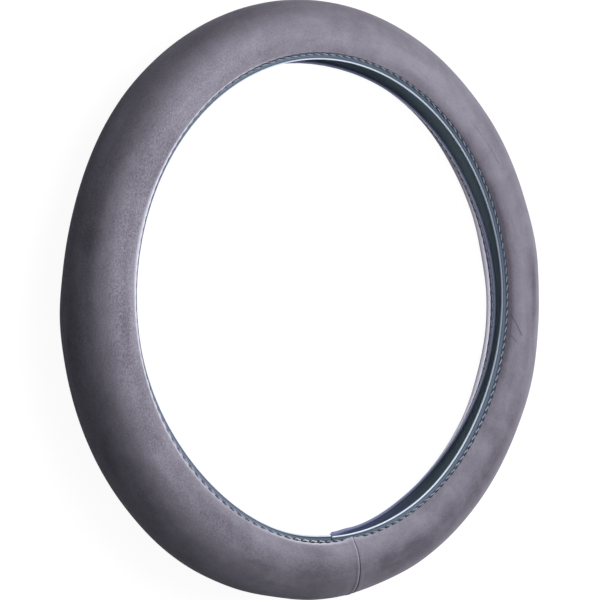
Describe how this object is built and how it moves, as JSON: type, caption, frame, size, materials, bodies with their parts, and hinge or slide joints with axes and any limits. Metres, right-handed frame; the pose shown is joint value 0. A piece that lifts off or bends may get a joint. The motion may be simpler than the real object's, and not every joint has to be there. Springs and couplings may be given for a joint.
{
  "type": "steering wheel cover",
  "caption": "Suede sleeve sewn over a C-section rubber hoop that stretches onto a steering wheel rim to give a soft grip.",
  "frame": {"origin": "centre of the ring, on the flat surface that the cover lies on", "axes": "+Z along the axis of the ring, from its rear face to its front face; +X through the joint of the rubber hoop"},
  "size_m": [0.3824, 0.3776, 0.0419],
  "materials": {
    "suede": "short-napped grey-mauve suede cloth",
    "rubber": "satin slate-blue rubber",
    "thread": "blue-grey twisted polyester thread"
  },
  "bodies": {
    "root": {"rubber_ring": "rubber", "suede_sleeve": "suede", "front_stitching": "thread", "rear_stitching": "thread", "seam_stitching": "thread"}
  },
  "joints": []
}
